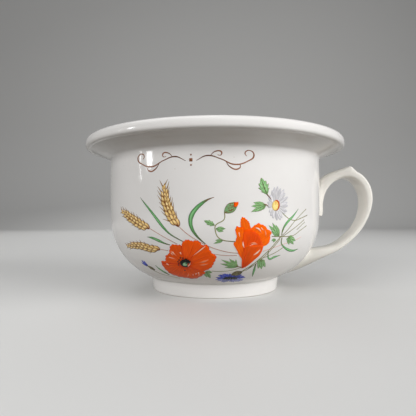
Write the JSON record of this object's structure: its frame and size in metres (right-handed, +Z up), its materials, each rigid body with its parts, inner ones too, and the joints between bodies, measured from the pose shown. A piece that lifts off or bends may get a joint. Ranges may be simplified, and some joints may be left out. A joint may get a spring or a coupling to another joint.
{
  "type": "chamber pot",
  "caption": "Round glazed pot with a broad everted rim, a foot ring and a strap handle with a thumb spur, decorated with a spray of field flowers.",
  "frame": {"origin": "on the bowl's axis, in the plane that the foot ring stands on", "axes": "+Z up along the bowl's axis, +X towards the handle, +Y away from the decorated side"},
  "size_m": [0.2706, 0.24, 0.1376],
  "materials": {
    "glaze": "warm white gloss glaze",
    "foot_glaze": "white gloss glaze, wiped bare where it stands",
    "slip": "bare fired clay",
    "print": "printed enamel under gloss"
  },
  "bodies": {
    "root": {"bowl": "glaze", "foot_ring": "foot_glaze", "handle": "glaze", "foot_slip": "slip", "upper_handle_slip": "glaze", "lower_handle_slip": "glaze"}
  },
  "joints": []
}
